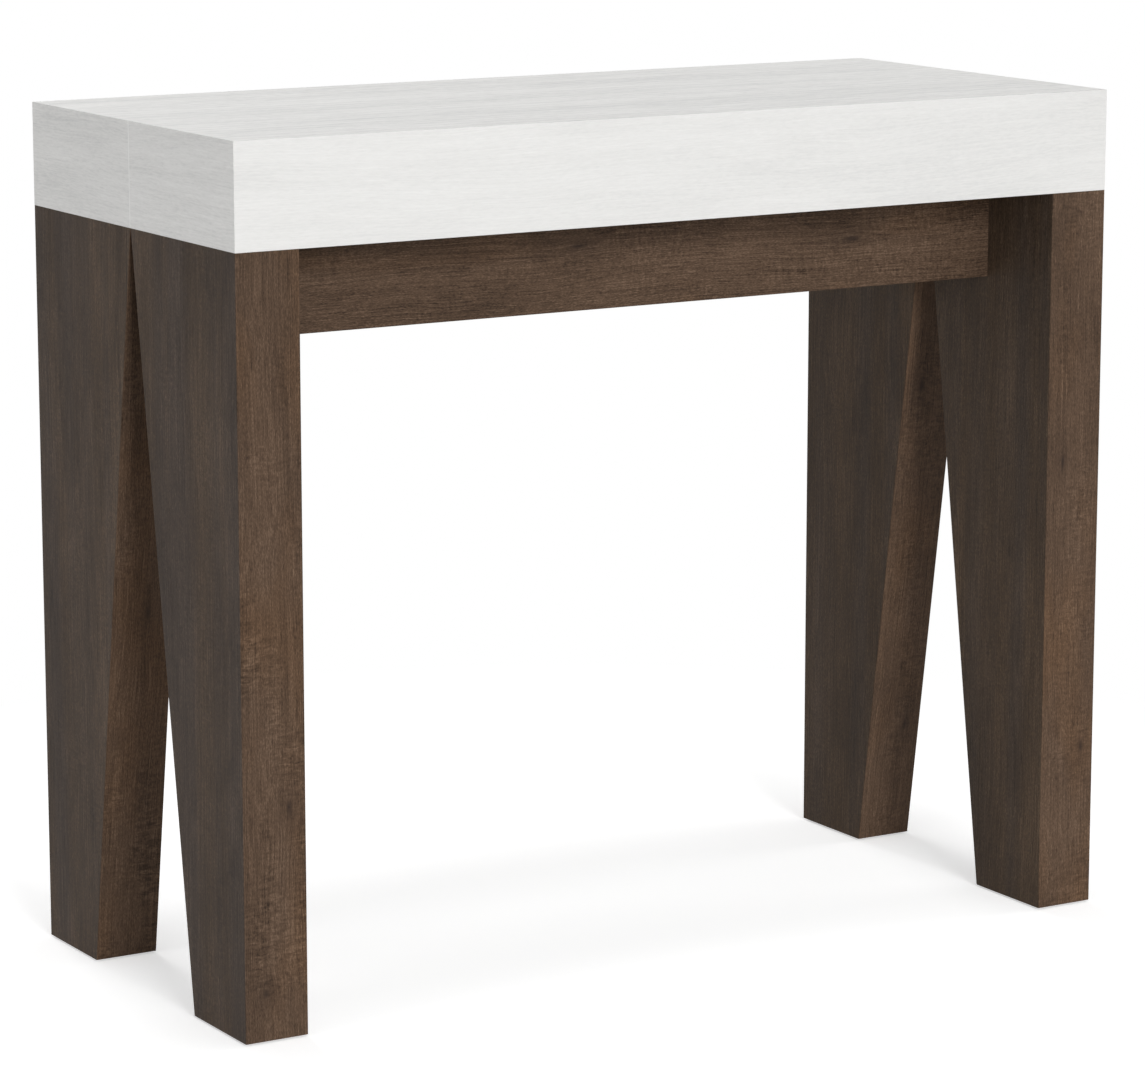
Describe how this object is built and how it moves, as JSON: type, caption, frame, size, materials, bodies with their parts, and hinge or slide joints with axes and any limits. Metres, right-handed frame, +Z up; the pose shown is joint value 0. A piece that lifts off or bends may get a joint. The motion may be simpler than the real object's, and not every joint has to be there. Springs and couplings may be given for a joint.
{
  "type": "extending console table",
  "caption": "Narrow box-topped console table on tapered legs; the top parts at mid-depth and its two halves pull apart on telescopic rail guides to make a long table.",
  "frame": {"origin": "on the floor, under the centre of the closed table", "axes": "+X along the table's width, +Y from the front to the rear, +Z up; the halves part along Y, shown with the front half held still"},
  "size_m": [0.9, 0.4, 0.775],
  "materials": {
    "white_ash": "white ash-grain laminate, matt, fine embossed grain",
    "brown_oak": "dark brown wood-grain laminate, matt, fine pores",
    "raw_wood": "plain sawn softwood",
    "rail_aluminium": "natural anodised extrusion",
    "zinc_steel": "bright zinc plated",
    "pale_nylon": "natural nylon",
    "black_nylon": "black nylon"
  },
  "bodies": {
    "rear_half": {"rear_top_board": "white_ash", "rear_fascia": "white_ash", "rear_left_end": "white_ash", "rear_right_end": "white_ash", "rear_left_leg": "brown_oak", "rear_right_leg": "brown_oak", "rear_crossbar": "brown_oak", "rear_left_batten": "raw_wood", "rear_right_batten": "raw_wood", "rear_leg_bolts": "zinc_steel", "rear_crossbar_cams": "zinc_steel", "rear_cam_bolts": "zinc_steel", "rear_foot_glides": "black_nylon", "rear_guide_screws": "zinc_steel", "left_rear_rail": "rail_aluminium", "right_rear_rail": "rail_aluminium", "rear_stop_pads": "pale_nylon", "lock_strike_screws": "zinc_steel"},
    "front_half": {"front_top_board": "white_ash", "front_fascia": "white_ash", "front_left_end": "white_ash", "front_right_end": "white_ash", "front_left_leg": "brown_oak", "front_right_leg": "brown_oak", "front_crossbar": "brown_oak", "front_left_batten": "raw_wood", "front_right_batten": "raw_wood", "front_leg_bolts": "zinc_steel", "front_crossbar_cams": "zinc_steel", "front_cam_bolts": "zinc_steel", "front_foot_glides": "black_nylon", "front_guide_screws": "zinc_steel", "left_front_rail": "rail_aluminium", "right_front_rail": "rail_aluminium", "front_runners": "pale_nylon", "alignment_pegs": "pale_nylon", "lock_pivot_screws": "zinc_steel"},
    "left_stage_1": {"left_stage_1_rail": "rail_aluminium", "left_stage_1_sliders": "pale_nylon"},
    "left_stage_2": {"left_stage_2_rail": "rail_aluminium", "left_stage_2_sliders": "pale_nylon"},
    "left_stage_3": {"left_stage_3_rail": "rail_aluminium", "left_stage_3_sliders": "pale_nylon"},
    "left_stage_4": {"left_stage_4_rail": "rail_aluminium", "left_stage_4_sliders": "pale_nylon"},
    "left_stage_5": {"left_stage_5_rail": "rail_aluminium", "left_stage_5_sliders": "pale_nylon"},
    "right_stage_1": {"right_stage_1_rail": "rail_aluminium", "right_stage_1_sliders": "pale_nylon"},
    "right_stage_2": {"right_stage_2_rail": "rail_aluminium", "right_stage_2_sliders": "pale_nylon"},
    "right_stage_3": {"right_stage_3_rail": "rail_aluminium", "right_stage_3_sliders": "pale_nylon"},
    "right_stage_4": {"right_stage_4_rail": "rail_aluminium", "right_stage_4_sliders": "pale_nylon"},
    "right_stage_5": {"right_stage_5_rail": "rail_aluminium", "right_stage_5_sliders": "pale_nylon"},
    "left_lock": {"left_lock_lever": "zinc_steel"},
    "right_lock": {"right_lock_lever": "zinc_steel"}
  },
  "joints": [
    {"name": "extension_slide", "type": "slide", "parent": "front_half", "child": "rear_half", "axis": [0, 1, 0], "range_m": [0, 1.5]},
    {"name": "left_stage_1_slide", "type": "slide", "parent": "front_half", "child": "left_stage_1", "axis": [0, 1, 0], "range_m": [0, 1.25]},
    {"name": "left_stage_2_slide", "type": "slide", "parent": "front_half", "child": "left_stage_2", "axis": [0, 1, 0], "range_m": [0, 1]},
    {"name": "left_stage_3_slide", "type": "slide", "parent": "front_half", "child": "left_stage_3", "axis": [0, 1, 0], "range_m": [0, 0.75]},
    {"name": "left_stage_4_slide", "type": "slide", "parent": "front_half", "child": "left_stage_4", "axis": [0, 1, 0], "range_m": [0, 0.5]},
    {"name": "left_stage_5_slide", "type": "slide", "parent": "front_half", "child": "left_stage_5", "axis": [0, 1, 0], "range_m": [0, 0.25]},
    {"name": "right_stage_1_slide", "type": "slide", "parent": "front_half", "child": "right_stage_1", "axis": [0, 1, 0], "range_m": [0, 1.25]},
    {"name": "right_stage_2_slide", "type": "slide", "parent": "front_half", "child": "right_stage_2", "axis": [0, 1, 0], "range_m": [0, 1]},
    {"name": "right_stage_3_slide", "type": "slide", "parent": "front_half", "child": "right_stage_3", "axis": [0, 1, 0], "range_m": [0, 0.75]},
    {"name": "right_stage_4_slide", "type": "slide", "parent": "front_half", "child": "right_stage_4", "axis": [0, 1, 0], "range_m": [0, 0.5]},
    {"name": "right_stage_5_slide", "type": "slide", "parent": "front_half", "child": "right_stage_5", "axis": [0, 1, 0], "range_m": [0, 0.25]},
    {"name": "left_lock_hinge", "type": "hinge", "parent": "front_half", "child": "left_lock", "pos_m": [-0.11, -0.022, 0.7512], "axis": [0, 0, 1], "range_deg": [0, 80]},
    {"name": "right_lock_hinge", "type": "hinge", "parent": "front_half", "child": "right_lock", "pos_m": [0.11, -0.022, 0.7512], "axis": [0, 0, -1], "range_deg": [0, 80]}
  ],
  "couplings": [
    {"joint": "left_stage_1_slide", "follows": "extension_slide", "ratio": 0.83333},
    {"joint": "left_stage_2_slide", "follows": "extension_slide", "ratio": 0.66667},
    {"joint": "left_stage_3_slide", "follows": "extension_slide", "ratio": 0.5},
    {"joint": "left_stage_4_slide", "follows": "extension_slide", "ratio": 0.33333},
    {"joint": "left_stage_5_slide", "follows": "extension_slide", "ratio": 0.16667},
    {"joint": "right_stage_1_slide", "follows": "extension_slide", "ratio": 0.83333},
    {"joint": "right_stage_2_slide", "follows": "extension_slide", "ratio": 0.66667},
    {"joint": "right_stage_3_slide", "follows": "extension_slide", "ratio": 0.5},
    {"joint": "right_stage_4_slide", "follows": "extension_slide", "ratio": 0.33333},
    {"joint": "right_stage_5_slide", "follows": "extension_slide", "ratio": 0.16667}
  ]
}
